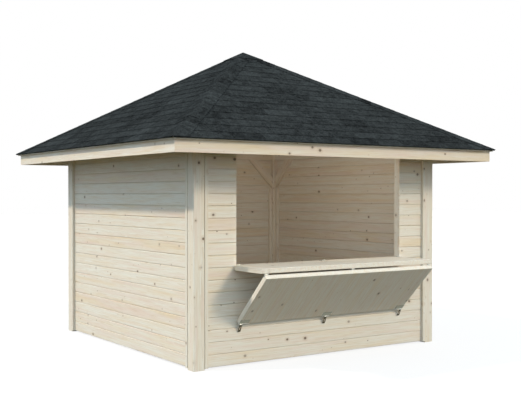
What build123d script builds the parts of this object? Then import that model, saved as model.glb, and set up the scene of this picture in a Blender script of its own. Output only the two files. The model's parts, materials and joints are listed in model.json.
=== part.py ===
from build123d import *
import os
from math import atan, cos, radians, sin, sqrt, tan

# A square timber market stall: four corner posts, boarded walls, a hipped roof with wide eaves,
# and a serving hatch of two hinged leaves that open into a counter and its sloping prop.
# Millimetres, +Z up, origin at the middle of the plan on the ground, front towards -Y.

# Plan, posts and walls
plan_side = 3000.0            # over the outer faces of the corner posts
post_side = 115.0
post_arris = 5.0              # planed corner of a post
ground_gap = 15.0             # wall boards stay clear of the ground
board_cover = 114.5           # height that one wall board covers
head_courses = 18             # boards up to the underside of the plates
sill_courses = 8              # boards under the serving opening
wall_thickness = 28.0
wall_recess = 22.0            # wall face behind the post face
outside_batten_width = 34.0
outside_batten_thickness = 28.0
inside_batten_width = 40.0
inside_batten_thickness = 34.0

# Plates and knee braces
plate_thickness = 45.0
plate_height = 195.0
wall_lap_share = 0.58         # wall boards cover this share of a plate's height
brace_reach = 371.0           # along the plate's underside, from the post
brace_width = 95.0

# Roof
roof_pitch = 29.85            # degrees
rafter_width = 45.0
rafter_depth = 95.0
rafter_seat = 20.0            # depth of the notch over a plate
rafter_place_shares = (-0.94, -0.47, 0.0, 0.47, 0.94)
hip_width = 45.0
hip_depth = 110.0
king_side = 120.0
king_tail = 40.0              # king block below the hip rafters
deck_thickness = 18.0
deck_overhang = 25.0          # deck edge beyond the fascia
eave_overhang = 426.0         # fascia face beyond the post face
fascia_thickness = 19.0
fascia_height = 122.0
shingle_thickness = 8.0
shingle_overhang = 22.0       # shingle edge beyond the deck
hip_cap_half_width = 110.0
hip_cap_thickness = 4.0

# Serving opening
opening_width = 2060.0
jamb_width = 45.0
jamb_depth = 52.0
sill_rail_height = 45.0
sill_board_thickness = 14.0

# Hatch: the counter leaf is hinged at the sill, the flap leaf at the counter's front edge
counter_lap = 25.0            # counter beyond the opening at each end
counter_depth = 454.0
flap_side_gap = 2.0           # flap short of the opening at each end
leaf_thickness = 45.0
leaf_arris = 3.0
leaf_gap = 6.0                # between two leaves that lie in one plane
flap_slope = 45.0             # degrees below level
flap_wall_gap = 6.0           # flap's lower corner to the wall face

# Hinges of the hatch
hinge_place_shares = (-0.978, 0.0, 0.978)
hinge_width = 38.0
hinge_leaf_reach = 42.0
hinge_leaf_thickness = 2.5
hinge_rise = 6.0              # pin's centre off the faces that carry the leaves
knuckle_radius = 5.5
knuckle_relief = 1.0
knuckle_play = 0.6
pin_radius = 3.0
pin_play = 0.1

# Hasps on the flap's lower edge
hasp_plate_width = 105.0
hasp_plate_height = 58.0
hasp_thickness = 2.5
hasp_knuckle_radius = 4.0
hasp_strap_width = 30.0
hasp_strap_length = 80.0
hasp_slot_width = 9.0
hasp_slot_length = 34.0
hasp_strap_lean = 20.0        # degrees, strap off the flap's slope

# Overrun of solids that are cut back to a plane
overrun = 60.0

# Sides by the direction that they face, in degrees from +X
facings = {"front": -90.0, "right": 0.0, "back": 90.0, "left": 180.0}
quarter_turn = 90.0
corner_turn = quarter_turn / 2

# Distances from the middle of the plan
plan_half = plan_side / 2
post_middle = plan_half - post_side / 2
wall_half = plan_half - post_side
wall_face = plan_half - wall_recess
plate_outer = wall_face - wall_thickness
plate_inner = plate_outer - plate_thickness
fascia_outer = plan_half + eave_overhang
fascia_inner = fascia_outer - fascia_thickness
deck_edge = fascia_outer + deck_overhang
shingle_edge = deck_edge + shingle_overhang
king_half = king_side / 2
opening_half = opening_width / 2
counter_half = opening_half + counter_lap
flap_half = opening_half - flap_side_gap

# Heights of the walls
head_height = ground_gap + head_courses * board_cover
lower_wall_top = ground_gap + sill_courses * board_cover
sill_top = lower_wall_top + sill_board_thickness
plate_top = head_height + plate_height
wall_top = head_height + wall_lap_share * plate_height
brace_foot = head_height - brace_reach

# Roof slopes: each layer's upright thickness, and its height over the middle of the plan
rise = tan(radians(roof_pitch))
hip_rise = rise / sqrt(2)
slope_stretch = 1 / cos(radians(roof_pitch))
rafter_drop = rafter_depth * slope_stretch
deck_drop = deck_thickness * slope_stretch
hip_drop = hip_depth / cos(atan(hip_rise))
under_deck_peak = plate_top - rafter_seat + rafter_drop + plate_outer * rise
deck_peak = under_deck_peak + deck_drop
shingle_peak = deck_peak + shingle_thickness * slope_stretch
cap_peak = shingle_peak + hip_cap_thickness * slope_stretch
fascia_bottom = under_deck_peak - fascia_outer * rise - fascia_height
post_height = under_deck_peak - post_middle * rise - hip_drop

# Hatch in the upright plane across the front: distance outwards and height
counter_back = wall_face + leaf_gap
counter_front = counter_back + counter_depth
counter_bottom = sill_top - leaf_thickness
sill_pin = (wall_face + leaf_gap / 2, sill_top + hinge_rise)
flap_pin = (counter_front + leaf_gap / 2, counter_bottom - hinge_rise)
slope_cos = cos(radians(flap_slope))
slope_sin = sin(radians(flap_slope))
inwards = (-1, 0)
outwards = (1, 0)
upwards = (0, 1)
downwards = (0, -1)
down_the_flap = (-slope_cos, -slope_sin)
out_of_the_flap = (slope_sin, -slope_cos)
flap_end = (flap_pin[0] + hinge_rise * slope_sin - wall_face - flap_wall_gap) / slope_cos
flap_outer = hinge_rise + leaf_thickness


def outward(facing):
    """Level unit vector that points out of a side."""
    return Vector(1, 0, 0).rotate(Axis.Z, facing)


def cross_plane(facing, along=0.0):
    """Upright plane across a side: x runs outwards, y runs up, the normal runs along the side."""
    sideways = outward(facing).cross(Vector(0, 0, 1))
    return Plane(origin=sideways * along, x_dir=outward(facing), z_dir=sideways)


def face_plane(facing, distance):
    """Upright plane parallel to a side: x runs along the side, y runs up, the normal points outwards."""
    sideways = outward(facing).cross(Vector(0, 0, 1))
    return Plane(origin=outward(facing) * distance, x_dir=sideways * -1, z_dir=outward(facing))


def roof_plane(facing, peak):
    """Sloping plane of one roof layer; its normal points up and outwards."""
    pitch = radians(roof_pitch)
    normal = outward(facing) * sin(pitch) + Vector(0, 0, cos(pitch))
    return Plane(origin=(0, 0, peak), z_dir=normal)


def hip_plane(facing, turn, inset=0.0):
    """Upright plane along a hip, moved inwards by the inset; its normal points out of the side's wedge."""
    normal = outward(facing + turn * (corner_turn + quarter_turn))
    return Plane(origin=normal * -inset, z_dir=normal)


def cut_to_wedge(facing, inset=0.0):
    """Cuts the part that is being built back to the plan wedge between a side's two hips."""
    for turn in (-1, 1):
        split(bisect_by=hip_plane(facing, turn, inset), keep=Keep.BOTTOM)


def hatch_plane(pin, reach, face, along=0.0):
    """Upright plane across the front at a hinge pin: x and y follow two directions of that plane."""
    front = outward(facings["front"])
    across = cross_plane(facings["front"], along)
    x_dir = front * reach[0] + Vector(0, 0, reach[1])
    y_dir = front * face[0] + Vector(0, 0, face[1])
    return Plane(origin=across.from_local_coords(Vector(*pin)), x_dir=x_dir, z_dir=x_dir.cross(y_dir))


def side_board(facing, inner, outer, bottom, top, spans):
    """Straight timber along a side, with one solid for each span of places along it."""
    with BuildPart() as board:
        for start, end in spans:
            with BuildSketch(cross_plane(facing, start)):
                with Locations(((inner + outer) / 2, (bottom + top) / 2)):
                    Rectangle(outer - inner, top - bottom)
            extrude(amount=end - start)
    return board


def slope_layer(facing, edge, bottom_peak, top_peak):
    """One layer of a roof slope: a slab with a plumb eave edge, mitred at both hips."""
    with BuildPart() as layer:
        with BuildSketch(cross_plane(facing)):
            with BuildLine():
                Polyline(
                    (0, bottom_peak),
                    (edge, bottom_peak - edge * rise),
                    (edge, top_peak - edge * rise),
                    (0, top_peak),
                    close=True,
                )
            make_face()
        extrude(amount=edge, both=True)
        cut_to_wedge(facing)
    return layer


def hipped_block(half, bottom, peak):
    """Square block under the four planes of one roof layer."""
    with BuildPart() as block:
        with Locations((0, 0, bottom)):
            Box(2 * half, 2 * half, peak - bottom, align=(Align.CENTER, Align.CENTER, Align.MIN))
        for facing in facings.values():
            split(bisect_by=roof_plane(facing, peak), keep=Keep.BOTTOM)
    return block


def corner_post(corner_x, corner_y):
    """Square post with planed arrises."""
    with BuildPart() as post:
        with BuildSketch(Plane((corner_x * post_middle, corner_y * post_middle, 0))):
            Rectangle(post_side, post_side)
        extrude(amount=post_height)
        chamfer(post.edges().filter_by(Axis.Z), post_arris)
    return post


def knee_brace_pair(facing):
    """Two diagonal braces in a wall's plane, from the posts up to the plate."""
    plumb_width = brace_width * sqrt(2)
    with BuildPart() as braces:
        for end in (-1, 1):
            with BuildSketch(face_plane(facing, plate_inner)):
                with BuildLine():
                    Polyline(
                        (end * wall_half, brace_foot),
                        (end * wall_half, brace_foot + plumb_width),
                        (end * (wall_half - brace_reach + plumb_width), head_height),
                        (end * (wall_half - brace_reach), head_height),
                        close=True,
                    )
                make_face()
            extrude(amount=plate_thickness)
    return braces


def slope_rafters(facing):
    """Common and jack rafters of one slope, notched over the plate and cut to the hip rafters' cheeks."""

    def underside(distance):
        return under_deck_peak - rafter_drop - distance * rise

    with BuildPart() as rafters:
        with BuildSketch(*[cross_plane(facing, share * wall_half) for share in rafter_place_shares]):
            with BuildLine():
                Polyline(
                    (fascia_inner, underside(fascia_inner)),
                    (fascia_inner, underside(fascia_inner) + rafter_drop),
                    (king_half, underside(king_half) + rafter_drop),
                    (king_half, underside(king_half)),
                    (plate_outer - rafter_seat / rise, plate_top),
                    (plate_outer, plate_top),
                    (plate_outer, underside(plate_outer)),
                    close=True,
                )
            make_face()
        extrude(amount=rafter_width / 2, both=True)
        cut_to_wedge(facing, inset=hip_width / 2)
    return rafters


def fascia_board(facing):
    """Eave board, bevelled under the deck and mitred at the corners."""
    with BuildPart() as fascia:
        with BuildSketch(cross_plane(facing)):
            with BuildLine():
                Polyline(
                    (fascia_inner, fascia_bottom),
                    (fascia_outer, fascia_bottom),
                    (fascia_outer, under_deck_peak - fascia_outer * rise),
                    (fascia_inner, under_deck_peak - fascia_inner * rise),
                    close=True,
                )
            make_face()
        extrude(amount=fascia_outer, both=True)
        cut_to_wedge(facing)
    return fascia


def hinge_leaves(pin, reach, face, with_pin):
    """One half of the butt hinges on a pin line: leaves with two outer knuckles each,
    or with the middle knuckle and the pin."""
    third = hinge_width / 3
    relief = knuckle_radius + knuckle_relief
    leaf_middle = hinge_rise - hinge_leaf_thickness / 2
    knuckles = [(-hinge_width / 2, -third / 2 - knuckle_play), (third / 2 + knuckle_play, hinge_width / 2)]
    if with_pin:
        knuckles = [(-third / 2, third / 2)]
    with BuildPart() as leaves:
        for share in hinge_place_shares:
            place = hatch_plane(pin, reach, face, share * flap_half)
            with BuildSketch(place.offset(-hinge_width / 2)):
                with Locations(((relief + hinge_leaf_reach) / 2, leaf_middle)):
                    Rectangle(hinge_leaf_reach - relief, hinge_leaf_thickness)
            extrude(amount=hinge_width)
            for start, end in knuckles:
                with BuildSketch(place.offset(start)):
                    Circle(knuckle_radius)
                    with Locations((relief / 2, leaf_middle)):
                        Rectangle(relief, hinge_leaf_thickness)
                    if not with_pin:
                        Circle(pin_radius + pin_play, mode=Mode.SUBTRACT)
                extrude(amount=end - start)
            if with_pin:
                with BuildSketch(place.offset(-hinge_width / 2)):
                    Circle(pin_radius)
                extrude(amount=hinge_width)
    return leaves


def flap_hasps():
    """Hasps on the flap's lower edge: a screwed plate, a knuckle and a slotted strap that hangs from it.
    The outer plates are set inwards so that they end with the flap."""
    lean = radians(hasp_strap_lean)
    knuckle_out = flap_outer + hasp_knuckle_radius
    plate_limit = flap_half - hasp_plate_width / 2
    with BuildPart() as hasps:
        for share in hinge_place_shares:
            strap_middle = share * flap_half
            plate_middle = max(-plate_limit, min(plate_limit, strap_middle))
            place = hatch_plane(flap_pin, down_the_flap, out_of_the_flap, strap_middle)
            plate_place = hatch_plane(flap_pin, down_the_flap, out_of_the_flap, plate_middle)
            with BuildSketch(plate_place.offset(-hasp_plate_width / 2)):
                with Locations((flap_end - hasp_plate_height / 2, flap_outer + hasp_thickness / 2)):
                    Rectangle(hasp_plate_height, hasp_thickness)
            extrude(amount=hasp_plate_width)
            with BuildSketch(place.offset(-hasp_strap_width / 2)):
                with Locations((flap_end, knuckle_out)):
                    Circle(hasp_knuckle_radius)
            extrude(amount=hasp_strap_width)
            strap_start = place.from_local_coords(Vector(flap_end, knuckle_out))
            strap_along = place.x_dir * cos(lean) + place.y_dir * sin(lean)
            strap_out = place.y_dir * cos(lean) - place.x_dir * sin(lean)
            strap = Plane(origin=strap_start, x_dir=strap_along, z_dir=strap_out)
            with BuildSketch(strap.offset(-hasp_thickness / 2)):
                with Locations((hasp_strap_length / 2, 0)):
                    Rectangle(hasp_strap_length, hasp_strap_width)
                with Locations((hasp_strap_length - hasp_slot_length, 0)):
                    SlotOverall(hasp_slot_length, hasp_slot_width, mode=Mode.SUBTRACT)
            extrude(amount=hasp_thickness)
    return hasps


pieces = {}

# Corner posts
for depth_name, corner_y in (("front", -1), ("back", 1)):
    for side_name, corner_x in (("left", -1), ("right", 1)):
        pieces[f"post_{depth_name}_{side_name}"] = corner_post(corner_x, corner_y)

# Plates between the posts
whole_side = [(-wall_half, wall_half)]
for name, facing in facings.items():
    pieces[f"plate_{name}"] = side_board(
        facing, plate_inner, plate_outer, head_height, plate_top, whole_side
    )

# Boarded walls; the front one is split beside the serving opening
for name in ("back", "left", "right"):
    pieces[f"wall_{name}"] = side_board(
        facings[name], plate_outer, wall_face, ground_gap, wall_top, whole_side
    )
pieces["front_wall_lower"] = side_board(
    facings["front"], plate_outer, wall_face, ground_gap, lower_wall_top, whole_side
)
pieces["front_wall_left"] = side_board(
    facings["front"], plate_outer, wall_face, lower_wall_top, wall_top, [(opening_half, wall_half)]
)
pieces["front_wall_right"] = side_board(
    facings["front"], plate_outer, wall_face, lower_wall_top, wall_top, [(-wall_half, -opening_half)]
)

# Battens that hold the board ends beside the posts
outside_spans = [
    (-wall_half, outside_batten_width - wall_half),
    (wall_half - outside_batten_width, wall_half),
]
with BuildPart() as outside_battens:
    for facing in facings.values():
        add(
            side_board(
                facing, wall_face, wall_face + outside_batten_thickness, ground_gap, wall_top, outside_spans
            ).part
        )
pieces["outside_battens"] = outside_battens

inside_spans = [
    (-wall_half, inside_batten_width - wall_half),
    (wall_half - inside_batten_width, wall_half),
]
with BuildPart() as inside_battens:
    for name, facing in facings.items():
        batten_top = head_height if name == "front" else brace_foot
        add(
            side_board(
                facing, plate_outer - inside_batten_thickness, plate_outer, ground_gap, batten_top, inside_spans
            ).part
        )
pieces["inside_battens"] = inside_battens

# Knee braces of the three closed walls
with BuildPart() as knee_braces:
    for name in ("back", "left", "right"):
        add(knee_brace_pair(facings[name]).part)
pieces["knee_braces"] = knee_braces

# Frame of the serving opening
jamb_spans = [(-opening_half - jamb_width, -opening_half), (opening_half, opening_half + jamb_width)]
pieces["jamb_studs"] = side_board(
    facings["front"], plate_outer - jamb_depth, plate_outer, ground_gap, head_height, jamb_spans
)
between_jambs = [(-opening_half, opening_half)]
pieces["sill_rail"] = side_board(
    facings["front"],
    plate_outer - jamb_depth,
    plate_outer,
    lower_wall_top - sill_rail_height,
    lower_wall_top,
    between_jambs,
)
pieces["sill_board"] = side_board(
    facings["front"], plate_outer - jamb_depth, wall_face, lower_wall_top, sill_top, between_jambs
)

# King block under the peak
king_top = under_deck_peak - king_half * rise
king_bottom = king_top - hip_drop - king_tail
with BuildPart() as king_block:
    with BuildSketch(Plane.XY.offset(king_bottom)):
        Rectangle(king_side, king_side)
    extrude(amount=king_top - king_bottom)
pieces["king_block"] = king_block

# Hip rafters: backed to the deck, notched over posts and plates, butted to the king block
hip_reach = fascia_inner * sqrt(2) + overrun
rafter_space = hipped_block(fascia_inner, head_height, under_deck_peak)
with BuildPart() as hip_rafters:
    hip_planes = [cross_plane(facing + corner_turn) for facing in facings.values()]
    with BuildSketch(*hip_planes):
        with BuildLine():
            Polyline(
                (0, under_deck_peak - hip_drop),
                (hip_reach, under_deck_peak - hip_drop - hip_reach * hip_rise),
                (hip_reach, under_deck_peak + overrun - hip_reach * hip_rise),
                (0, under_deck_peak + overrun),
                close=True,
            )
        make_face()
    extrude(amount=hip_width / 2, both=True)
    add(rafter_space.part, mode=Mode.INTERSECT)
    with BuildSketch(Plane.XY.offset(head_height)):
        Rectangle(king_side, king_side)
    extrude(amount=under_deck_peak - head_height, mode=Mode.SUBTRACT)
    with BuildSketch(Plane.XY):
        with GridLocations(2 * post_middle, 2 * post_middle, 2, 2):
            Rectangle(post_side, post_side)
    extrude(amount=post_height, mode=Mode.SUBTRACT)
    for name in facings:
        add(pieces[f"plate_{name}"].part, mode=Mode.SUBTRACT)
pieces["hip_rafters"] = hip_rafters

# Slopes: rafters, deck, shingles and fascia
for name, facing in facings.items():
    pieces[f"rafters_{name}"] = slope_rafters(facing)
    pieces[f"roof_deck_{name}"] = slope_layer(facing, deck_edge, under_deck_peak, deck_peak)
    pieces[f"shingles_{name}"] = slope_layer(facing, shingle_edge, deck_peak, shingle_peak)
    pieces[f"fascia_{name}"] = fascia_board(facing)

# Hip caps: one folded cover over the four hips, open over the slopes
shingle_block = hipped_block(shingle_edge, head_height - overrun, shingle_peak)
cap_block = hipped_block(shingle_edge, head_height - overrun, cap_peak)
cap_inset = hip_cap_half_width * sqrt(2)
with BuildPart() as hip_caps:
    add(cap_block.part)
    add(shingle_block.part, mode=Mode.SUBTRACT)
    slope_reach = shingle_edge + overrun
    for facing in facings.values():
        with BuildSketch(Plane.XY.offset(head_height - overrun)):
            with BuildLine():
                Polyline(
                    outward(facing) * cap_inset,
                    outward(facing) * slope_reach
                    + outward(facing + quarter_turn) * (slope_reach - cap_inset),
                    outward(facing) * slope_reach
                    - outward(facing + quarter_turn) * (slope_reach - cap_inset),
                    close=True,
                )
            make_face()
        extrude(amount=cap_peak - head_height + overrun, mode=Mode.SUBTRACT)
pieces["hip_caps"] = hip_caps

# Counter leaf and flap leaf
with BuildPart() as counter_leaf:
    with BuildSketch(cross_plane(facings["front"])):
        with Locations(((counter_back + counter_front) / 2, sill_top - leaf_thickness / 2)):
            Rectangle(counter_depth, leaf_thickness)
    extrude(amount=counter_half, both=True)
    chamfer(counter_leaf.edges().filter_by(Axis.X), leaf_arris)
pieces["counter_leaf"] = counter_leaf

flap_start = leaf_gap / 2
with BuildPart() as flap_leaf:
    with BuildSketch(hatch_plane(flap_pin, down_the_flap, out_of_the_flap)):
        with Locations(((flap_start + flap_end) / 2, (hinge_rise + flap_outer) / 2)):
            Rectangle(flap_end - flap_start, leaf_thickness)
    extrude(amount=flap_half, both=True)
    chamfer(flap_leaf.edges().filter_by(Axis.X), leaf_arris)
pieces["flap_leaf"] = flap_leaf

# Hinges and hasps of the hatch
pieces["sill_hinge_leaves"] = hinge_leaves(sill_pin, inwards, downwards, with_pin=False)
with BuildPart() as counter_hinge_leaves:
    add(hinge_leaves(sill_pin, outwards, downwards, with_pin=True).part)
    add(hinge_leaves(flap_pin, inwards, upwards, with_pin=False).part)
pieces["counter_hinge_leaves"] = counter_hinge_leaves
pieces["flap_hinge_leaves"] = hinge_leaves(flap_pin, down_the_flap, out_of_the_flap, with_pin=True)
pieces["hasps"] = flap_hasps()

os.makedirs("parts", exist_ok=True)
for name, piece in pieces.items():
    piece.part.label = name
    export_step(piece.part, f"parts/{name}.step")
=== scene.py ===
import json
from math import atan, cos, pi, radians, sin, sqrt

import bmesh
import bpy
import numpy as np
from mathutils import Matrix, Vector


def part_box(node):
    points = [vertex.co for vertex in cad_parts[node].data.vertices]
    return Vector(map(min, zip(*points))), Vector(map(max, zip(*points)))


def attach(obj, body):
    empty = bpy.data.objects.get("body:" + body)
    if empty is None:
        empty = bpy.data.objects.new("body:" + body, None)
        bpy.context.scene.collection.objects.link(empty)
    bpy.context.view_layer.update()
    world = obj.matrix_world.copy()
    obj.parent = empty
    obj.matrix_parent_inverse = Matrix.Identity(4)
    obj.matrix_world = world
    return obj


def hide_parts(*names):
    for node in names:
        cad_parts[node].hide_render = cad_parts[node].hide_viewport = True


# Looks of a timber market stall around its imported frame. Metres, +Z up, front towards -Y.
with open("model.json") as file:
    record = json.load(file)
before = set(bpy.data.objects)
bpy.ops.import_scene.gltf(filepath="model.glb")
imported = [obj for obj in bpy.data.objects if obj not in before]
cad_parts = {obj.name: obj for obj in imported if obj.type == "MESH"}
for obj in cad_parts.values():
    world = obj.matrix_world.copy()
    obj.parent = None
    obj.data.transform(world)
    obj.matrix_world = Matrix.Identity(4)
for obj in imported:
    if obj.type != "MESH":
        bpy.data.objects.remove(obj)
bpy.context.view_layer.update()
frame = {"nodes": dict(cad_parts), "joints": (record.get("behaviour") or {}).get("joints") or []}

MM = 0.001
ALONG_X, ALONG_Y, ALONG_Z = (1.0, 0.0, 0.0), (0.0, 1.0, 0.0), (0.0, 0.0, 1.0)
UP = np.array(ALONG_Z)
chance = np.random.default_rng(20)

# Wall boards: tongue and groove with a small bevel at each joint
BOARD_COVER = 114.5 * MM
BOARD_BEVEL = 4.0 * MM
JOINT_GAP = 1.3 * MM
TONGUE_WIDTH = 8.0 * MM
TONGUE_LENGTH = 6.5 * MM
TONGUE_PLAY = 0.5 * MM
TONGUE_PLANED_OFF = -1.0 * MM
BOARD_SETBACK = 0.8 * MM       # most that one board's face lies behind its neighbour's
BOARD_TONE = 0.15              # palest board, from cream, 0, to honey, 1
BOARD_TONE_SPREAD = 0.5
LOG_LENGTH = 40.0              # boards are cut from one long log, so that no two look alike
LOG_RADIUS = 90.0 * MM
LOG_HEART_SHARE = 0.15         # of its radius, left out round the middle

# Roof boards and shingles
DECK_COVER = 96.0 * MM
DECK_BEVEL = 4.0 * MM
HIP_JOINT = 0.3 * MM
PEAK_CLEARANCE = 12.0 * MM
SHINGLE_EXPOSURE = 145.0 * MM
TAB_WIDTH = 333.0 * MM
TAB_SLOT = 3.0 * MM
TAB_LENGTH_SHARE = 2.15        # of the exposure
TAB_LEAST_WIDTH = 12.0 * MM
TAB_STATIONS = 7
TAB_STAGGER = 0.5              # of a tab, from course to course
TAB_TONE_SPREAD = 0.09
COURSE_SHIFT = 18.0 * MM       # uneven start of a course
SHINGLE_HIP_INSET = 6.0 * MM
CAP_EXPOSURE = 145.0 * MM
CAP_LENGTH_SHARE = 1.4         # of the exposure
CAP_HALF_WIDTH = 110.0 * MM
CAP_FOLD = 9.0 * MM            # rounding of the fold over the hip
CAP_PRESS = 3.0 * MM           # its edges lie down on the tabs
CAP_ACROSS = 13
CAP_TONE_SPREAD = 0.08
PEAK_CAP_HALF = 165.0 * MM
PEAK_CAP_LIFT = 3.5 * MM       # its skirt stands off the hip caps
PEAK_CAP_TIP = 0.02            # of its half side, the flat at the top
PEAK_CAP_RINGS = 6
PEAK_CAP_AROUND = 32

# Hasps on the flap: the heights that bound the painted shade on their straps and plates
HASP_STRAP_TOP = 388.0 * MM    # height of the knuckles' underside
HASP_PLATE_FOOT = 401.0 * MM   # height of the plates' lower edge
HASP_REACH = 1.0               # a height above all the hasps

# Leaves of the hatch: edge-glued boards across the short way
LEAF_BOARD = 121.0 * MM
LEAF_BOARD_BEVEL = 0.25 * MM
LEAF_TONE_SPREAD = 0.05
LEAF_ARRIS = 3.0 * MM
LEAF_GRAIN_START = 80.0 * MM   # where along the grain the short way begins


def linear(code):
    """Linear colour of an sRGB hex value, with alpha 1."""
    share = np.array([int(code[i:i + 2], 16) for i in (1, 3, 5)]) / 255
    curve = np.where(share <= 0.04045, share / 12.92, ((share + 0.055) / 1.055) ** 2.4)
    return (*curve.tolist(), 1.0)


def add_node(tree, kind, inputs=None, **settings):
    """Adds a node: settings are its own properties, and an input takes a value or another node's output."""
    made = tree.nodes.new(kind)
    for key, value in settings.items():
        setattr(made, key, value)
    for key, value in (inputs or {}).items():
        if isinstance(value, bpy.types.NodeSocket):
            tree.links.new(value, made.inputs[key])
        else:
            made.inputs[key].default_value = value
    return made


def new_material(name):
    """Material with an empty node tree and its output."""
    material = bpy.data.materials.new(name)
    material.use_nodes = True
    material.node_tree.nodes.clear()
    output = add_node(material.node_tree, "ShaderNodeOutputMaterial")
    return material, material.node_tree, output.inputs["Surface"]


# Materials

PINE_PALE = "#E8E2D5"
PINE_HONEY = "#E3CEAE"
PINE_ROSE = "#E3CDBD"
PINE_LATE = "#CDB592"
KNOT_CORE = "#5C4734"
KNOT_RIM = "#B8946C"
WAVE_LENGTH = 2 * pi / 20      # of the wave texture at scale 1
RING_WIDTH = 10.0 * MM         # real rings are 2 to 3 mm: drawn coarser, so that they show
RING_WAVER = 1.2
RING_SHARPNESS = 3.0           # late wood is a thin line at the end of each ring
RING_TONE = 0.3
FIBRE_WIDTH = 7.0 * MM         # real fibre is under 1 mm: drawn coarser, so that it shows
FIBRE_LENGTH = 190.0 * MM
FIBRE_RANGE = (0.5, 0.8)       # noise values between which a fibre darkens
FIBRE_TONE = 0.55
BLUSH_WIDTH = 70.0 * MM
BLUSH_LENGTH = 800.0 * MM
BLUSH_RANGE = (0.4, 0.6)
CLOUD_WIDTH = 34.0 * MM
CLOUD_LENGTH = 520.0 * MM
CLOUD_RANGE = (0.3, 0.7)
CLOUD_TONE = 0.34
WOBBLE_LENGTH = 700.0 * MM
WOBBLE_WIDTH = 160.0 * MM
WOBBLE_REACH = 14.0 * MM
KNOT_STRETCH = 0.8             # knots are a little longer along the grain
KNOT_SPACING = 165.0 * MM
KNOT_RADIUS = 16.0 * MM
KNOT_LEAST = 0.0001            # a place without a knot, kept above zero for the division
KNOT_KEPT = 0.18               # share of the scattered places that hold a knot
KNOT_DEPTHS = (0.3, 1.0)       # faintest and deepest colour of a knot
KNOT_EDGES = (0.45, 1.15)      # of its radius, where the core fades out
HALO_EDGES = (0.8, 2.6)
HALO_TONE = 0.3
PIN_KNOT_SPACING = 95.0 * MM
PIN_KNOT_RADIUS = 6.0 * MM
PIN_KNOT_KEPT = 0.09
TIMBER_KNOT_SPACING = 0.42     # of the boards' spacing, as most places in a thick piece lie inside it
TIMBER_KNOT_KEPT = 1.8
PINE_BUMP = 0.25 * MM
PINE_BUMP_STRENGTH = 0.5
PINE_ROUGHNESS = (0.66, 0.5)   # of early and late wood
PINE_IOR = 1.5


def timber_grain(tree, grain_run, centre, folded):
    """Grain coordinates of a thick piece: Object coordinates turned so that the grain runs along x, and moved
    so that the log's middle lies at the centre. Folded ones take the larger and the smaller of |x| and |y|
    first, so that all four corners look alike."""
    place = add_node(tree, "ShaderNodeTexCoord").outputs["Object"]
    if folded:
        size = add_node(tree, "ShaderNodeVectorMath", {0: place}, operation="ABSOLUTE").outputs[0]
        part = add_node(tree, "ShaderNodeSeparateXYZ", {0: size}).outputs
        far = add_node(tree, "ShaderNodeMath", {0: part[0], 1: part[1]}, operation="MAXIMUM").outputs[0]
        near = add_node(tree, "ShaderNodeMath", {0: part[0], 1: part[1]}, operation="MINIMUM").outputs[0]
        place = add_node(tree, "ShaderNodeCombineXYZ", {0: far, 1: near, 2: part[2]}).outputs[0]
    turn = Vector(grain_run).rotation_difference(Vector(ALONG_X))
    return add_node(
        tree, "ShaderNodeMapping",
        {"Vector": place, "Rotation": turn.to_euler(), "Location": -(turn @ Vector(centre))},
    ).outputs["Vector"]


def knot_shares(tree, grain, dimensions, spacing_share, kept_share):
    """Shares of knot core and of the halo round it, from the distance to the nearest point of a loose scatter
    over the point's own radius. Each point has its own depth of colour, and most points are left out."""
    cores, halos = [], []
    for spacing, radius, kept in (
        (KNOT_SPACING * spacing_share, KNOT_RADIUS, KNOT_KEPT * kept_share),
        (PIN_KNOT_SPACING * spacing_share, PIN_KNOT_RADIUS, PIN_KNOT_KEPT * kept_share),
    ):
        spread = add_node(
            tree, "ShaderNodeVectorMath",
            {0: grain, 1: (KNOT_STRETCH / spacing, 1 / spacing, 1 / spacing)}, operation="MULTIPLY",
        ).outputs[0]
        cells = add_node(
            tree, "ShaderNodeTexVoronoi", {"Vector": spread, "Scale": 1.0}, voronoi_dimensions=dimensions
        ).outputs
        lots = add_node(tree, "ShaderNodeSeparateColor", {"Color": cells["Color"]}).outputs
        drawn = add_node(
            tree, "ShaderNodeMapRange",
            {"Value": lots[0], "From Min": 1 - kept, "From Max": 1.0, "To Min": KNOT_LEAST, "To Max": 1.0},
        ).outputs["Result"]
        size = add_node(tree, "ShaderNodeMath", {0: drawn}, operation="SQRT").outputs[0]
        wide = add_node(
            tree, "ShaderNodeMath", {0: size, 1: radius / spacing}, operation="MULTIPLY"
        ).outputs[0]
        away = add_node(
            tree, "ShaderNodeMath", {0: cells["Distance"], 1: wide}, operation="DIVIDE"
        ).outputs[0]
        depth = add_node(
            tree, "ShaderNodeMapRange", {"Value": lots[1], "To Min": KNOT_DEPTHS[0], "To Max": KNOT_DEPTHS[1]}
        ).outputs["Result"]
        faded = [
            add_node(
                tree, "ShaderNodeMapRange",
                {"Value": away, "From Min": inner, "From Max": outer, "To Min": 1.0, "To Max": 0.0},
                interpolation_type="SMOOTHSTEP",
            ).outputs["Result"]
            for inner, outer in (KNOT_EDGES, HALO_EDGES)
        ]
        for edges, shares in zip(faded, (cores, halos)):
            deepened = add_node(tree, "ShaderNodeMath", {0: edges, 1: depth}, operation="MULTIPLY")
            shares.append(deepened.outputs[0])
    return [
        add_node(tree, "ShaderNodeMath", {0: shares[0], 1: shares[1]}, operation="MAXIMUM").outputs[0]
        for shares in (cores, halos)
    ]


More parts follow.
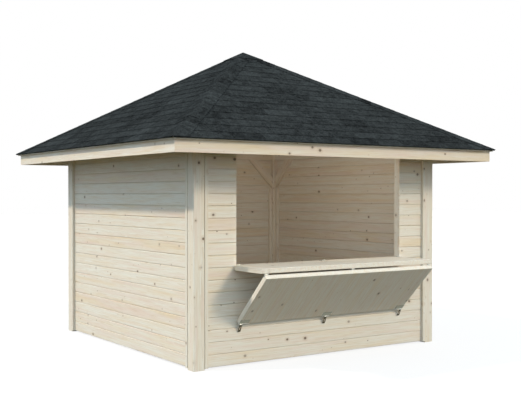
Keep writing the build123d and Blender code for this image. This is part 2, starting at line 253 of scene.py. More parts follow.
def planed_pine(name, grain_run=None, centre=None, tone=0.0, folded=False, knots=1.0):
    """Planed, unfinished pine: satin-dull pale wood with soft growth rings round the log's middle,
    fine fibre along the grain, brown knots that push the rings aside, and pieces that lean to cream or
    to honey. Boards bring their own grain and tone attributes, and thick pieces have a grain run."""
    material, tree, surface = new_material(name)
    boards = grain_run is None
    if boards:
        grain = add_node(tree, "ShaderNodeAttribute", attribute_name="grain").outputs["Vector"]
        core, halo = knot_shares(tree, grain, "2D", 1.0, 1.0)
    else:
        grain = timber_grain(tree, grain_run, centre, folded)
        core, halo = knot_shares(tree, grain, "3D", TIMBER_KNOT_SPACING, TIMBER_KNOT_KEPT * knots)

    # Rings: distance from the log's middle, bent by slow noise and by the knots
    slow = add_node(
        tree, "ShaderNodeVectorMath",
        {0: grain, 1: (1 / WOBBLE_LENGTH, 1 / WOBBLE_WIDTH, 1 / WOBBLE_WIDTH)}, operation="MULTIPLY",
    ).outputs[0]
    wander = add_node(tree, "ShaderNodeTexNoise", {"Vector": slow, "Scale": 1.0, "Detail": 2.0})
    bend = add_node(
        tree, "ShaderNodeVectorMath",
        {0: wander.outputs["Color"], 1: (0.0, 2 * WOBBLE_REACH, 2 * WOBBLE_REACH), 2: grain},
        operation="MULTIPLY_ADD",
    ).outputs[0]
    push = add_node(
        tree, "ShaderNodeVectorMath", {0: halo, 1: (0.0, RING_WIDTH, RING_WIDTH), 2: bend},
        operation="MULTIPLY_ADD",
    ).outputs[0]
    rings = add_node(
        tree, "ShaderNodeTexWave",
        {"Vector": push, "Scale": WAVE_LENGTH / RING_WIDTH, "Distortion": RING_WAVER, "Detail": 2.0,
         "Detail Scale": 0.6},
        wave_type="RINGS", rings_direction="X", wave_profile="SAW",
    ).outputs["Fac"]
    late = add_node(tree, "ShaderNodeMath", {0: rings, 1: RING_SHARPNESS}, operation="POWER").outputs[0]

    # Fibre and slow clouds of tone along the grain
    lengthwise = []
    for length, width, detail in (
        (FIBRE_LENGTH, FIBRE_WIDTH, 3.0), (CLOUD_LENGTH, CLOUD_WIDTH, 2.0), (BLUSH_LENGTH, BLUSH_WIDTH, 1.0)
    ):
        drawn = add_node(
            tree, "ShaderNodeVectorMath", {0: grain, 1: (1 / length, 1 / width, 1 / width)},
            operation="MULTIPLY",
        ).outputs[0]
        noise = add_node(tree, "ShaderNodeTexNoise", {"Vector": drawn, "Scale": 1.0, "Detail": detail})
        lengthwise.append(noise.outputs["Fac"])
    fibre, cloud, blush = lengthwise
    shift = add_node(
        tree, "ShaderNodeMapRange",
        {"Value": cloud, "From Min": CLOUD_RANGE[0], "From Max": CLOUD_RANGE[1],
         "To Min": tone - CLOUD_TONE, "To Max": tone + CLOUD_TONE},
    ).outputs["Result"]
    if boards:
        leaning = add_node(tree, "ShaderNodeAttribute", attribute_name="tone").outputs["Fac"]
        shift = add_node(tree, "ShaderNodeMath", {0: shift, 1: leaning}, operation="ADD").outputs[0]
    lean = add_node(tree, "ShaderNodeClamp", {"Value": shift}).outputs[0]

    rosy = add_node(
        tree, "ShaderNodeMapRange", {"Value": blush, "From Min": BLUSH_RANGE[0], "From Max": BLUSH_RANGE[1]}
    ).outputs["Result"]
    warm = add_node(
        tree, "ShaderNodeMix", {0: rosy, 6: linear(PINE_HONEY), 7: linear(PINE_ROSE)}, data_type="RGBA"
    ).outputs[2]
    colour = add_node(
        tree, "ShaderNodeMix", {0: lean, 6: linear(PINE_PALE), 7: warm}, data_type="RGBA"
    ).outputs[2]
    weight = add_node(tree, "ShaderNodeMath", {0: late, 1: RING_TONE}, operation="MULTIPLY").outputs[0]
    colour = add_node(
        tree, "ShaderNodeMix", {0: weight, 6: colour, 7: linear(PINE_LATE)}, data_type="RGBA"
    ).outputs[2]
    thread = add_node(
        tree, "ShaderNodeMapRange",
        {"Value": fibre, "From Min": FIBRE_RANGE[0], "From Max": FIBRE_RANGE[1],
         "To Min": 0.0, "To Max": FIBRE_TONE},
    ).outputs["Result"]
    colour = add_node(
        tree, "ShaderNodeMix", {0: thread, 6: colour, 7: linear(PINE_LATE)}, data_type="RGBA"
    ).outputs[2]
    glow = add_node(tree, "ShaderNodeMath", {0: halo, 1: HALO_TONE}, operation="MULTIPLY").outputs[0]
    colour = add_node(
        tree, "ShaderNodeMix", {0: glow, 6: colour, 7: linear(KNOT_RIM)}, data_type="RGBA"
    ).outputs[2]
    colour = add_node(
        tree, "ShaderNodeMix", {0: core, 6: colour, 7: linear(KNOT_CORE)}, data_type="RGBA"
    ).outputs[2]

    relief = add_node(tree, "ShaderNodeMath", {0: late, 1: fibre}, operation="ADD").outputs[0]
    bump = add_node(
        tree, "ShaderNodeBump", {"Height": relief, "Strength": PINE_BUMP_STRENGTH, "Distance": PINE_BUMP}
    ).outputs["Normal"]
    sheen = add_node(
        tree, "ShaderNodeMapRange", {"Value": late, "To Min": PINE_ROUGHNESS[0], "To Max": PINE_ROUGHNESS[1]}
    ).outputs["Result"]
    shader = add_node(
        tree, "ShaderNodeBsdfPrincipled",
        {"Base Color": colour, "Roughness": sheen, "IOR": PINE_IOR, "Normal": bump},
    )
    tree.links.new(shader.outputs[0], surface)
    return material


BITUMEN_DARK = "#0F1011"
BITUMEN_PALE = "#3A3E3F"
GRANULE = 12.0 * MM            # slate granules are 1 to 2 mm: drawn coarser, so that they show
BLOTCH = 70.0 * MM
PATCH = 420.0 * MM             # shingles from one bundle lie together
# painted shadow of each course's lower edge on the tab below it: how far down it reaches
BUTT_SHADOW_BAND = 22.0 * MM
GRANULE_BUMP = 1.2 * MM
GRANULE_BUMP_STRENGTH = 0.7
GRANULE_WEIGHT = 0.6           # beside 1 for the blotches
PATCH_WEIGHT = 0.5
GRIT_RANGE = (0.45, 1.65)      # weighted sums that give the darkest and the palest grit
# depth of that painted shadow, at the next course's edge
BUTT_SHADOW_BAND_TONE = 0.6
BITUMEN_ROUGHNESS = 0.95
BITUMEN_SHINE = 0.0            # loose grit scatters the light and mirrors none


def bitumen_shingle(name):
    """Bitumen shingle with crushed slate granules pressed in: a rough, dull anthracite grit, tabs that
    differ a little in tone, and painted shadow just below the next course's lower edge, darker towards it.
    The tab attribute holds the place along the course, the distance from the tab's lower edge,
    and the tab's own tone."""
    material, tree, surface = new_material(name)
    place = add_node(tree, "ShaderNodeTexCoord").outputs["Object"]
    tab = add_node(tree, "ShaderNodeAttribute", attribute_name="tab").outputs["Vector"]
    part = add_node(tree, "ShaderNodeSeparateXYZ", {"Vector": tab}).outputs
    grit = add_node(tree, "ShaderNodeTexVoronoi", {"Vector": place, "Scale": 1 / GRANULE})
    speck = add_node(tree, "ShaderNodeSeparateColor", {"Color": grit.outputs["Color"]}).outputs[0]
    blotch = add_node(
        tree, "ShaderNodeTexNoise", {"Vector": place, "Scale": 1 / BLOTCH, "Detail": 2.0}
    ).outputs["Fac"]
    patch = add_node(
        tree, "ShaderNodeTexNoise", {"Vector": place, "Scale": 1 / PATCH, "Detail": 1.0}
    ).outputs["Fac"]
    mixed = add_node(
        tree, "ShaderNodeMath", {0: speck, 1: GRANULE_WEIGHT, 2: blotch}, operation="MULTIPLY_ADD"
    ).outputs[0]
    mixed = add_node(
        tree, "ShaderNodeMath", {0: patch, 1: PATCH_WEIGHT, 2: mixed}, operation="MULTIPLY_ADD"
    ).outputs[0]
    toned = add_node(tree, "ShaderNodeMath", {0: mixed, 1: part[2]}, operation="ADD").outputs[0]
    share = add_node(
        tree, "ShaderNodeMapRange", {"Value": toned, "From Min": GRIT_RANGE[0], "From Max": GRIT_RANGE[1]}
    ).outputs["Result"]
    colour = add_node(
        tree, "ShaderNodeMix", {0: share, 6: linear(BITUMEN_DARK), 7: linear(BITUMEN_PALE)}, data_type="RGBA"
    ).outputs[2]
    # Painted shadow: the tab darkens towards the next course's lower edge, as if shaded by it
    butt_shadow = add_node(
        tree, "ShaderNodeMapRange",
        {"Value": part[1], "From Min": SHINGLE_EXPOSURE - BUTT_SHADOW_BAND, "From Max": SHINGLE_EXPOSURE,
         "To Min": 0.0, "To Max": BUTT_SHADOW_BAND_TONE},
    ).outputs["Result"]
    colour = add_node(
        tree, "ShaderNodeMix", {0: butt_shadow, 6: colour, 7: linear(BITUMEN_DARK)}, data_type="RGBA"
    ).outputs[2]
    bump = add_node(
        tree, "ShaderNodeBump",
        {"Height": grit.outputs["Distance"], "Strength": GRANULE_BUMP_STRENGTH, "Distance": GRANULE_BUMP},
    ).outputs["Normal"]
    shader = add_node(
        tree, "ShaderNodeBsdfPrincipled",
        {"Base Color": colour, "Roughness": BITUMEN_ROUGHNESS, "Specular IOR Level": BITUMEN_SHINE,
         "Normal": bump},
    )
    tree.links.new(shader.outputs[0], surface)
    return material


ZINC_PALE = "#E2E4E0"
ZINC_DULL = "#B2B4AE"
# Painted shade and painted dark reflection on the hasps: olive for the straps, grey for the plates
STRAP_SHADE_OLIVE = "#4A4634"
PLATE_SHADE_GREY = "#888C80"
SPANGLE = 6.0 * MM
ZINC_ROUGHNESS = (0.28, 0.5)   # of its dull and its pale clouds


def zinc_plated_steel(name, shade_tints=()):
    """Zinc-plated pressed steel: a bright, slightly cloudy metal with soft reflections. Shade tints are
    colours with the heights they lie between, painted over the metal: the olive on the hasps' straps and the
    grey on their plates are painted shade and painted dark reflection."""
    material, tree, surface = new_material(name)
    place = add_node(tree, "ShaderNodeTexCoord").outputs["Object"]
    cloud = add_node(
        tree, "ShaderNodeTexNoise", {"Vector": place, "Scale": 1 / SPANGLE, "Detail": 3.0}
    ).outputs["Fac"]
    colour = add_node(
        tree, "ShaderNodeMix", {0: cloud, 6: linear(ZINC_DULL), 7: linear(ZINC_PALE)}, data_type="RGBA"
    ).outputs[2]
    height = add_node(tree, "ShaderNodeSeparateXYZ", {0: place}).outputs[2]
    # Painted shade: each colour is laid over the metal between its two heights
    for tint, low, high in shade_tints:
        shaded = add_node(
            tree, "ShaderNodeMath", {0: height, 1: (low + high) / 2, 2: (high - low) / 2}, operation="COMPARE"
        ).outputs[0]
        colour = add_node(
            tree, "ShaderNodeMix", {0: shaded, 6: colour, 7: linear(tint)}, data_type="RGBA"
        ).outputs[2]
    dull = add_node(
        tree, "ShaderNodeMapRange", {"Value": cloud, "To Min": ZINC_ROUGHNESS[0], "To Max": ZINC_ROUGHNESS[1]}
    ).outputs["Result"]
    shader = add_node(
        tree, "ShaderNodeBsdfPrincipled", {"Base Color": colour, "Roughness": dull, "Metallic": 1.0}
    )
    tree.links.new(shader.outputs[0], surface)
    return material


pine_boards = planed_pine("planed_pine_boards")
shingle = bitumen_shingle("bitumen_shingle_granules")
zinc = zinc_plated_steel("zinc_plated_steel")
# Hasps with painted shade: olive straps below the knuckles and grey plates above them
hasp_zinc_shaded = zinc_plated_steel(
    "zinc_plated_steel_hasps_shaded", [(STRAP_SHADE_OLIVE, 0.0, HASP_STRAP_TOP), (PLATE_SHADE_GREY, HASP_PLATE_FOOT, HASP_REACH)]
)


# Surfaces

def prism_faces(shape):
    """Faces of closed tubes whose points have the shape (tubes, stations, around): quads between
    neighbouring stations, and one end face at the first and the last station."""
    number = np.arange(np.prod(shape)).reshape(shape)
    ahead = np.roll(number, -1, axis=2)
    sides = np.stack([number[:, :-1], ahead[:, :-1], ahead[:, 1:], number[:, 1:]], axis=-1)
    return sides.reshape(-1, 4).tolist() + number[:, 0, ::-1].tolist() + number[:, -1].tolist()


def add_piece(name, points, faces, material, body, slot, replaced=(), **attributes):
    """Mesh piece at the origin from whole arrays: points, faces, and point attributes of 1 or 3 numbers."""
    mesh = bpy.data.meshes.new(name)
    mesh.from_pydata(points.reshape(-1, 3).tolist(), [], faces)
    for key, values in attributes.items():
        vector = values.shape[-1] == 3
        made = mesh.attributes.new(key, "FLOAT_VECTOR" if vector else "FLOAT", "POINT")
        made.data.foreach_set("vector" if vector else "value", values.astype(np.float32).ravel())
    mesh.materials.append(material)
    mesh.validate()
    outward = bmesh.new()
    outward.from_mesh(mesh)
    bmesh.ops.recalc_face_normals(outward, faces=outward.faces)
    outward.to_mesh(mesh)
    outward.free()
    piece = bpy.data.objects.new(name, mesh)
    bpy.context.scene.collection.objects.link(piece)
    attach(piece, body)
    if replaced:
        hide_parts(*replaced)


def extent(node, axes, origin=(0.0, 0.0, 0.0)):
    """Lowest and highest place of a node's points along three directions, from an origin."""
    mesh = frame["nodes"][node].data
    flat = np.empty(len(mesh.vertices) * 3, np.float32)
    mesh.vertices.foreach_get("co", flat)
    places = (flat.reshape(-1, 3).astype(float) - np.array(origin)) @ np.array(axes).T
    return places.min(axis=0), places.max(axis=0)


def side_axes(side):
    """Outward, along and up directions of one side of the plan; along runs to the right from outside."""
    outwards = {"front": (0, -1, 0), "right": (1, 0, 0), "back": (0, 1, 0), "left": (-1, 0, 0)}
    outward = np.array(outwards[side], float)
    return np.stack([outward, np.cross(UP, outward), UP])


def log_places(boards):
    """Where each board lies in its log: anywhere along it, and up to its radius from the middle."""
    low = (0.0, -LOG_RADIUS, LOG_HEART_SHARE * LOG_RADIUS)
    high = (LOG_LENGTH, LOG_RADIUS, LOG_RADIUS)
    return chance.uniform(low, high, (boards, 3))[:, None, None, :]


def board_tones(boards, spread):
    """Lean of each board from cream, 0, to honey, 1: most boards are pale and a few are warm."""
    return BOARD_TONE + spread * chance.random(boards) ** 2


def add_boards(name, points, grain, body, replaced, spread=BOARD_TONE_SPREAD):
    """Boards as closed tubes of shape (boards, stations, around, 3), each with its own tone and log place."""
    boards = points.shape[0]
    tones = np.broadcast_to(board_tones(boards, spread)[:, None, None], points.shape[:3])
    add_piece(
        name, points, prism_faces(points.shape[:3]), pine_boards, body, "planed_pine", replaced,
        grain=grain + log_places(boards), tone=tones[..., None],
    )


def tongued_profile(cover, thickness, bevel, tongue):
    """Section of tongue-and-groove boards as (depth behind the face, height), for one tongue length a board:
    down the face, in along the groove edge, up the back, and out over the tongue."""
    boards = len(tongue)
    middle, half_tongue = thickness / 2, TONGUE_WIDTH / 2
    half_groove, groove = half_tongue + TONGUE_PLAY, TONGUE_LENGTH + TONGUE_PLAY
    top = cover - JOINT_GAP
    depth = [
        0, 0, bevel, middle - half_groove, middle - half_groove, middle + half_groove, middle + half_groove,
        thickness - bevel, thickness, thickness, thickness - bevel,
        middle + half_tongue, middle + half_tongue, middle - half_tongue, middle - half_tongue, bevel,
    ]
    height = [
        top - bevel, JOINT_GAP + bevel, JOINT_GAP, JOINT_GAP, groove, groove, JOINT_GAP,
        JOINT_GAP, JOINT_GAP + bevel, top - bevel, top,
        top, top, top, top, top,
    ]
    depths = np.broadcast_to(np.array(depth, float), (boards, len(depth)))
    heights = np.tile(np.array(height, float), (boards, 1))
    heights[:, 12:14] += tongue[:, None]
    return depths, heights


def boarded_wall(side, node):
    """Wall of level boards: the tongued section carried along the side, one board a course."""
    axes = side_axes(side)
    low, high = extent(node, axes)
    courses = round((high[2] - low[2]) / BOARD_COVER)
    cover = (high[2] - low[2]) / courses
    tongue = np.full(courses, TONGUE_LENGTH)
    tongue[-1] = TONGUE_PLANED_OFF
    depth, height = tongued_profile(cover, high[0] - low[0] - BOARD_SETBACK, BOARD_BEVEL, tongue)
    setback = chance.uniform(0, BOARD_SETBACK, courses)[:, None]
    outward = (high[0] - setback - depth)[:, None, :]
    up = (low[2] + np.arange(courses)[:, None] * cover + height)[:, None, :]
    along = np.array([low[1], high[1]])[None, :, None]
    outward, along, up = np.broadcast_arrays(outward, along, up)
    points = np.stack([outward, along, up], axis=-1) @ axes
    grain = np.stack([along, np.broadcast_to(height[:, None, :], up.shape), high[0] - outward], axis=-1)
    add_boards(f"{node}_boards", points, grain, "stall", [node])


for side, node in (
    ("back", "wall_back"), ("left", "wall_left"), ("right", "wall_right"),
    ("front", "front_wall_lower"), ("front", "front_wall_left"), ("front", "front_wall_right"),
):
    boarded_wall(side, node)


# Roof slopes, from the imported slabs
deck_low, deck_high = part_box("roof_deck_front")
shingle_low, shingle_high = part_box("shingles_front")
cap_low, cap_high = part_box("hip_caps")
deck_edge, deck_peak = -deck_low.y, deck_high.z
shingle_edge, shingle_peak = -shingle_low.y, shingle_high.z
rise = (deck_peak - shingle_low.z) / shingle_edge
pitch = atan(rise)
deck_thickness = (deck_peak - deck_low.z - deck_edge * rise) * cos(pitch)
shingle_build = (shingle_peak - deck_peak) * cos(pitch)
cap_build = cap_high.z - shingle_peak


def slope_points(side, edge, peak, up_slope, above, along):
    """Points of a roof slope from the distance up the slope from the eave edge, the distance above the
    layer's plane (negative below it), and the place along the eave."""
    out = edge - up_slope * cos(pitch) + above * sin(pitch)
    height = peak - edge * rise + up_slope * sin(pitch) + above * cos(pitch)
    out, along, height = np.broadcast_arrays(out, along, height)
    return np.stack([out, along, height], axis=-1) @ side_axes(side)


def roof_deck(side):
    """Deck of tongued boards along the eave: the section carried from hip to hip, with both ends cut
    on the hip, where the place along equals the distance out. The first board has a plumb eave edge."""
    node = f"roof_deck_{side}"
    length = (deck_edge - PEAK_CLEARANCE) / cos(pitch)
    courses = round(length / DECK_COVER)
    cover = length / courses
    tongue = np.full(courses, TONGUE_LENGTH)
    tongue[-1] = TONGUE_PLANED_OFF
    depth, height = tongued_profile(cover, deck_thickness, DECK_BEVEL, tongue)
    depth = deck_thickness - depth
    up_slope = np.arange(courses)[:, None] * cover + height
    plumb = -np.tan(pitch) * depth[0]
    up_slope[0] = np.where(height[0] < cover / 2, plumb, up_slope[0])
    out = deck_edge - up_slope * cos(pitch) - depth * sin(pitch)
    ends = np.array([-1.0, 1.0])[None, :, None]
    along = ends * (out[:, None, :] - HIP_JOINT)
    points = slope_points(side, deck_edge, deck_peak, up_slope[:, None, :], -depth[:, None, :], along)
    grain = np.stack(np.broadcast_arrays(along, height[:, None, :], depth[:, None, :]), axis=-1)
    add_boards(f"{node}_boards", points, grain, "stall", [node])


def shingle_slope(side):
    """Courses of shingle tabs. A tab is a thin plate from its lower edge up the slope, over twice the
    exposure long and cut back to the hips; its underside falls evenly to nothing, by one thickness an
    exposure, so that every course lies flat on the one below. A starter strip fills the first course's
    underside."""
    node = f"shingles_{side}"
    thickness = shingle_build / (1 + TAB_LENGTH_SHARE)
    reach = shingle_edge / cos(pitch)
    courses = round(reach / SHINGLE_EXPOSURE)
    exposure = reach / courses
    length = TAB_LENGTH_SHARE * exposure
    most = int(shingle_edge / TAB_WIDTH) + 2
    course, tab = np.meshgrid(np.arange(courses), np.arange(-most, most), indexing="ij")
    shift = chance.uniform(-COURSE_SHIFT, COURSE_SHIFT, courses)[:, None]
    left = (tab + TAB_STAGGER * (course % 2)) * TAB_WIDTH + shift
    right = left + TAB_WIDTH - TAB_SLOT
    lower = course * exposure + 0.0 * left

    # A strip as long as the eave, tucked under the first course
    strip = np.array([-shingle_edge]), np.array([shingle_edge]), np.array([0.0])
    left, right, lower = (np.concatenate([a, b.ravel()]) for a, b in zip(strip, (left, right, lower)))
    starter = np.arange(len(left)) == 0

    eave = shingle_edge - shingle_build * sin(pitch)
    edge = eave - SHINGLE_HIP_INSET
    narrowest = np.maximum(np.maximum(left, -right) + TAB_LEAST_WIDTH, TAB_LEAST_WIDTH)
    upper = np.minimum(lower + length, (edge - narrowest) / cos(pitch))
    kept = upper - lower > TAB_LEAST_WIDTH
    left, right, lower, upper, starter = (a[kept] for a in (left, right, lower, upper, starter))

    step = np.linspace(0, 1, TAB_STATIONS)[None, :]
    up_slope = lower[:, None] + step * (upper - lower)[:, None]
    half = edge - up_slope * cos(pitch)
    from_left, to_right = np.maximum(left[:, None], -half), np.minimum(right[:, None], half)
    along = np.stack([from_left, to_right, to_right, from_left], axis=-1)
    fall = TAB_LENGTH_SHARE * thickness * (1 - (up_slope - lower[:, None]) / length)
    under = np.where(starter[:, None], 0.0, fall)
    over = np.where(starter[:, None], fall, fall + thickness)
    above = np.stack([over, over, under, under], axis=-1)
    points = slope_points(side, eave, deck_peak, up_slope[..., None], above, along)
    tones = chance.normal(0, TAB_TONE_SPREAD, len(left))[:, None, None]
    tab_place = np.stack(np.broadcast_arrays(along, (up_slope - lower[:, None])[..., None], tones), axis=-1)
    add_piece(
        f"{node}_tabs", points, prism_faces(points.shape[:3]), shingle, "stall", "bitumen_shingle", [node],
        tab=tab_place,
    )


for side in ("front", "right", "back", "left"):
    roof_deck(side)
    shingle_slope(side)


def cap_height(peak, along_hip, across):
    """Height of a layer beside a hip: it falls along the hip and to both sides, with a rounded fold,
    and its edges are pressed down by the fourth power of the distance from the fold."""
    folded = np.sqrt(across ** 2 + CAP_FOLD ** 2) - CAP_FOLD
    return peak - rise * (along_hip + folded) / sqrt(2) - CAP_PRESS * (across / CAP_HALF_WIDTH) ** 4


def hip_caps():
    """Folded caps that overlap up the four hips: each is a plate over the rounded fold of the roof, and its
    underside falls evenly so that it lies on the cap below. The lowest cap follows the eave corner."""
    hip_pitch = rise / sqrt(2)
    corner = shingle_edge * sqrt(2)
    plan_exposure = CAP_EXPOSURE / sqrt(1 + hip_pitch ** 2)
    plan_length = CAP_LENGTH_SHARE * plan_exposure
    thickness = cap_build / (1 + CAP_LENGTH_SHARE)
    caps = int((corner - CAP_HALF_WIDTH - plan_length) / plan_exposure) + 1
    across = np.linspace(-1, 1, CAP_ACROSS) * CAP_HALF_WIDTH
    lower = corner - np.arange(caps) * plan_exposure
    upper = lower - plan_length
    row = np.stack([lower, upper], axis=-1)[:, :, None] + 0.0 * across
    row[0, 0] -= np.abs(across)
    fall = thickness * CAP_LENGTH_SHARE * np.array([1.0, 0.0])[None, :, None]
    under = cap_height(shingle_peak, row, across) + fall
    over = under + thickness
    ring = np.concatenate([over, under[..., ::-1]], axis=-1)
    row, sideways = np.concatenate([row, row[..., ::-1]], axis=-1), np.concatenate([across, across[::-1]])
    points, places = [], []
    for x_sign, y_sign in ((1, -1), (1, 1), (-1, 1), (-1, -1)):
        hip = np.array((x_sign, y_sign, 0)) / sqrt(2)
        beside = np.multiply.outer(sideways, np.cross(UP, hip))
        points.append(row[..., None] * hip + beside + ring[..., None] * UP)
        tones = chance.normal(0, CAP_TONE_SPREAD, caps)[:, None, None]
        places.append(np.stack(np.broadcast_arrays(sideways, lower[:, None, None] - row, tones), axis=-1))
    return np.concatenate(points), np.concatenate(places)


def peak_cap(name):
    """Four-sided cap on the peak: square rings from the middle out, the height falling with the ring's half
    side, a little flatter than the roof so that its skirt clears the hip caps; the underside is one
    thickness lower."""
    turn = np.arange(PEAK_CAP_AROUND) / PEAK_CAP_AROUND * 2 * pi
    square = np.stack([np.cos(turn), np.sin(turn)], axis=-1)
    square /= np.abs(square).max(axis=-1, keepdims=True)
    ring = np.linspace(PEAK_CAP_TIP, 1, PEAK_CAP_RINGS) * PEAK_CAP_HALF
    flatter = rise - PEAK_CAP_LIFT / PEAK_CAP_HALF
    thickness = cap_build / (1 + CAP_LENGTH_SHARE)
    plan = ring[:, None, None] * square
    over = np.broadcast_to((cap_high.z - ring * flatter)[:, None], plan.shape[:2])
    top = np.concatenate([plan, over[..., None]], axis=-1)
    points = np.concatenate([top, top[::-1] - thickness * UP])[None]
    add_piece(
        name, points, prism_faces(points.shape[:3]), shingle, "stall", "bitumen_shingle",
        tab=np.zeros(points.shape),
    )


cap_points, cap_places = hip_caps()
add_piece(
    "hip_cap_shingles", cap_points, prism_faces(cap_points.shape[:3]), shingle, "stall", "bitumen_shingle",
    ["hip_caps"], tab=cap_places,
)
peak_cap("peak_cap")


def leaf_boards(node, body, axes, origin):
    """Leaf of edge-glued boards that run the short way: a square section with fine bevels carried from one
    long edge to the other, pinched at both ends by the leaf's arris. The axes are the short way, out of
    the face, and along the leaf."""
    low, high = extent(node, axes, origin)
    boards = round((high[2] - low[2]) / LEAF_BOARD)
    width = (high[2] - low[2]) / boards
    thickness = high[1] - low[1]
    bevel = LEAF_BOARD_BEVEL
    along = np.array([bevel, width - bevel, width, width, width - bevel, bevel, 0, 0])
    depth = np.array([0, 0, bevel, thickness - bevel, thickness, thickness, thickness - bevel, bevel])
    run = np.array([low[0], low[0] + LEAF_ARRIS, high[0] - LEAF_ARRIS, high[0]])
    pinch = np.array([LEAF_ARRIS, 0, 0, LEAF_ARRIS])[:, None]
    depth = pinch + depth * (1 - 2 * pinch / thickness)
    number = np.arange(boards)[:, None, None]
    sideways = low[2] + number * width + along
    short, out, sideways = np.broadcast_arrays(run[None, :, None], high[1] - depth[None], sideways)
    points = np.stack([short, out, sideways], axis=-1) @ np.array(axes) + np.array(origin)
    grain = np.stack(np.broadcast_arrays(short + LEAF_GRAIN_START, along, depth), axis=-1)
    add_boards(f"{node}_boards", points, grain, body, [node], LEAF_TONE_SPREAD)


pins = {joint["name"]: joint["pos_m"] for joint in frame["joints"]}
slant = sqrt(0.5)              # the flap leans at 45 degrees
leaf_boards("counter_leaf", "counter", (ALONG_Y, ALONG_Z, ALONG_X), (0.0, 0.0, 0.0))
leaf_boards("flap_leaf", "flap", ((0, slant, -slant), (0, -slant, -slant), ALONG_X), pins["flap_fold"])


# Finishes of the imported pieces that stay

PITH_REACH = 45.0 * MM         # log's middle from the middle of a piece
TIMBER_TONE = 0.1              # palest timber, from cream, 0, to honey, 1
TIMBER_TONE_SPREAD = 0.4
grain_runs = {
    "post_front_left": ALONG_Z, "post_front_right": ALONG_Z, "post_back_left": ALONG_Z,
    "post_back_right": ALONG_Z, "outside_battens": ALONG_Z, "inside_battens": ALONG_Z,
    "jamb_studs": ALONG_Z, "king_block": ALONG_Z,
    "plate_front": ALONG_X, "plate_back": ALONG_X, "plate_left": ALONG_Y, "plate_right": ALONG_Y,
    "fascia_front": ALONG_X, "fascia_back": ALONG_X, "fascia_left": ALONG_Y, "fascia_right": ALONG_Y,
    "sill_rail": ALONG_X, "sill_board": ALONG_X,
    "rafters_front": (0.0, 1.0, rise), "rafters_back": (0.0, -1.0, rise),
    "rafters_right": (-1.0, 0.0, rise), "rafters_left": (1.0, 0.0, rise),
}
folded_runs = {"hip_rafters": (1.0, 1.0, -rise), "knee_braces": (0.0, -1.0, 1.0)}
warmer = {"fascia": 0.2}
knotty = {"fascia": 0.45}
for node, run in {**grain_runs, **folded_runs}.items():
    low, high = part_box(node)
    centre = (low + high) / 2 + Vector(chance.uniform(-PITH_REACH, PITH_REACH, 3))
    kind = node.split("_")[0]
    lean = TIMBER_TONE + TIMBER_TONE_SPREAD * chance.random() ** 2 + warmer.get(kind, 0.0)
    finish = planed_pine(
        f"planed_pine_{node}", run, centre, lean, folded=node in folded_runs, knots=knotty.get(kind, 1.0)
    )
    frame["nodes"][node].data.materials.clear()
    frame["nodes"][node].data.materials.append(finish)
for node in ("sill_hinge_leaves", "counter_hinge_leaves", "flap_hinge_leaves", "hasps"):
    frame["nodes"][node].data.materials.clear()
    frame["nodes"][node].data.materials.append(hasp_zinc_shaded if node == "hasps" else zinc)


# Stage: pale floor, white surroundings, soft lamps and the camera

FLOOR_HALF = 60.0
FLOOR_PALE = "#F4F4F2"
FLOOR_BOUNCE = "#38330A"       # what the object gets back from the floor
FLOOR_WHITE_SHARE = 0.82       # of its own white, seen by the camera beside its shading
SKY_LIGHT = "#D4ECFF"
SKY_STRENGTH = 1.22
ROOM_FILL_PLACE = (-0.6, -1.0, 1.8)
ROOM_FILL_SIZE = (1.2, 0.35)
ROOM_FILL_TURN = -50.0         # degrees
ROOM_FILL_POWER = 11.5
ROOM_FILL_COLOUR = "#FFFBF3"
LEFT_LAMP_AIM = (1.0, -0.5, -1.18)
LEFT_LAMP_STRENGTH = 2.65
LEFT_LAMP_ANGLE = 3.0          # degrees across, as are the others
LEFT_LAMP_COLOUR = "#FFF2DF"
RIGHT_LAMP_AIM = (-0.55, 1.0, -0.745)
RIGHT_LAMP_STRENGTH = 1.43
RIGHT_LAMP_ANGLE = 13.0
RIGHT_LAMP_COLOUR = "#FFEED2"
FRONT_FILL_AIM = (-0.1, 1.0, -0.45)
FRONT_FILL_STRENGTH = 0.38
FRONT_FILL_ANGLE = 70.0
FRONT_FILL_COLOUR = "#FFEBCB"
CAMERA_PLACE = (-5.4608, -8.4517, 1.6013)
CAMERA_TURN = -34.0            # degrees
CAMERA_DIP = 0.6947            # degrees below level
PHOTO_WIDTH = 521.0
FOCAL_PIXELS = 882.45
SENSOR_WIDTH = 36.0


def background_rays(tree):
    """1 for rays that should meet the white surroundings: from the camera, a mirror or glass."""
    path = add_node(tree, "ShaderNodeLightPath").outputs
    mirrored = add_node(
        tree, "ShaderNodeMath", {0: path["Is Glossy Ray"], 1: path["Is Transmission Ray"]},
        operation="MAXIMUM",
    ).outputs[0]
    return add_node(
        tree, "ShaderNodeMath", {0: path["Is Camera Ray"], 1: mirrored}, operation="MAXIMUM"
    ).outputs[0]


def pale_floor():
    """Matt pale floor that keeps the object's shadow and is nearly white to the camera, with a quieter
    bounce."""
    material, tree, surface = new_material("pale_studio_floor")
    seen = background_rays(tree)
    share = add_node(tree, "ShaderNodeMath", {0: seen, 1: FLOOR_WHITE_SHARE}, operation="MULTIPLY").outputs[0]
    tint = add_node(
        tree, "ShaderNodeMix", {0: seen, 6: linear(FLOOR_BOUNCE), 7: linear(FLOOR_PALE)}, data_type="RGBA"
    ).outputs[2]
    matt = add_node(tree, "ShaderNodeBsdfDiffuse", {"Color": tint})
    white = add_node(tree, "ShaderNodeEmission", {"Strength": 1.0})
    mixed = add_node(tree, "ShaderNodeMixShader", {0: share, 1: matt.outputs[0], 2: white.outputs[0]})
    tree.links.new(mixed.outputs[0], surface)
    corners = np.array([(-1, -1, 0), (1, -1, 0), (1, 1, 0), (-1, 1, 0)], float) * FLOOR_HALF
    mesh = bpy.data.meshes.new("studio_floor")
    mesh.from_pydata(corners.tolist(), [], [(0, 1, 2, 3)])
    mesh.materials.append(material)
    floor = bpy.data.objects.new("studio_floor", mesh)
    bpy.context.scene.collection.objects.link(floor)


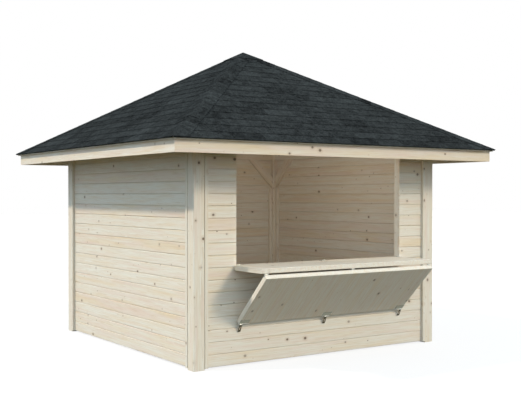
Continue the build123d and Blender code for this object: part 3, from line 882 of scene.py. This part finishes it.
def soft_lamp(name, aim, strength, angle, colour):
    """Distant lamp that shines along the aim, as wide as the angle in degrees."""
    lamp = bpy.data.lights.new(name, "SUN")
    lamp.energy = strength
    lamp.angle = radians(angle)
    lamp.color = linear(colour)[:3]
    held = bpy.data.objects.new(name, lamp)
    held.rotation_mode = "QUATERNION"
    held.rotation_quaternion = Vector(aim).to_track_quat("-Z", "Y")
    bpy.context.scene.collection.objects.link(held)


def room_fill():
    """Soft panel of light just inside the opening, unseen by the camera, that shines into the room."""
    lamp = bpy.data.lights.new("room_fill", "AREA")
    lamp.shape = "RECTANGLE"
    lamp.size, lamp.size_y = ROOM_FILL_SIZE
    lamp.energy = ROOM_FILL_POWER
    lamp.color = linear(ROOM_FILL_COLOUR)[:3]
    held = bpy.data.objects.new("room_fill", lamp)
    held.location = ROOM_FILL_PLACE
    held.rotation_euler = (pi / 2, 0.0, radians(ROOM_FILL_TURN))
    held.visible_camera = False
    bpy.context.scene.collection.objects.link(held)


def white_surroundings():
    """World that is white to the camera and an even cool-white light to everything else."""
    world = bpy.data.worlds.new("studio_surroundings")
    world.use_nodes = True
    tree = world.node_tree
    tree.nodes.clear()
    seen = background_rays(tree)
    light = add_node(tree, "ShaderNodeBackground", {"Color": linear(SKY_LIGHT), "Strength": SKY_STRENGTH})
    white = add_node(tree, "ShaderNodeBackground", {"Color": linear("#FFFFFF"), "Strength": 1.0})
    mixed = add_node(tree, "ShaderNodeMixShader", {0: seen, 1: light.outputs[0], 2: white.outputs[0]})
    add_node(tree, "ShaderNodeOutputWorld", {"Surface": mixed.outputs[0]})
    bpy.context.scene.world = world


def photo_camera():
    """Camera at the photograph's viewpoint, dipped a little below level."""
    lens = bpy.data.cameras.new("photo_camera")
    lens.sensor_width = SENSOR_WIDTH
    lens.lens = FOCAL_PIXELS / PHOTO_WIDTH * SENSOR_WIDTH
    camera = bpy.data.objects.new("photo_camera", lens)
    camera.location = CAMERA_PLACE
    camera.rotation_euler = (pi / 2 - radians(CAMERA_DIP), 0.0, radians(CAMERA_TURN))
    bpy.context.scene.collection.objects.link(camera)
    bpy.context.scene.camera = camera


pale_floor()
white_surroundings()
soft_lamp("left_lamp", LEFT_LAMP_AIM, LEFT_LAMP_STRENGTH, LEFT_LAMP_ANGLE, LEFT_LAMP_COLOUR)
soft_lamp("right_lamp", RIGHT_LAMP_AIM, RIGHT_LAMP_STRENGTH, RIGHT_LAMP_ANGLE, RIGHT_LAMP_COLOUR)
soft_lamp("front_fill", FRONT_FILL_AIM, FRONT_FILL_STRENGTH, FRONT_FILL_ANGLE, FRONT_FILL_COLOUR)
room_fill()
photo_camera()
bpy.context.scene.view_settings.view_transform = "Standard"
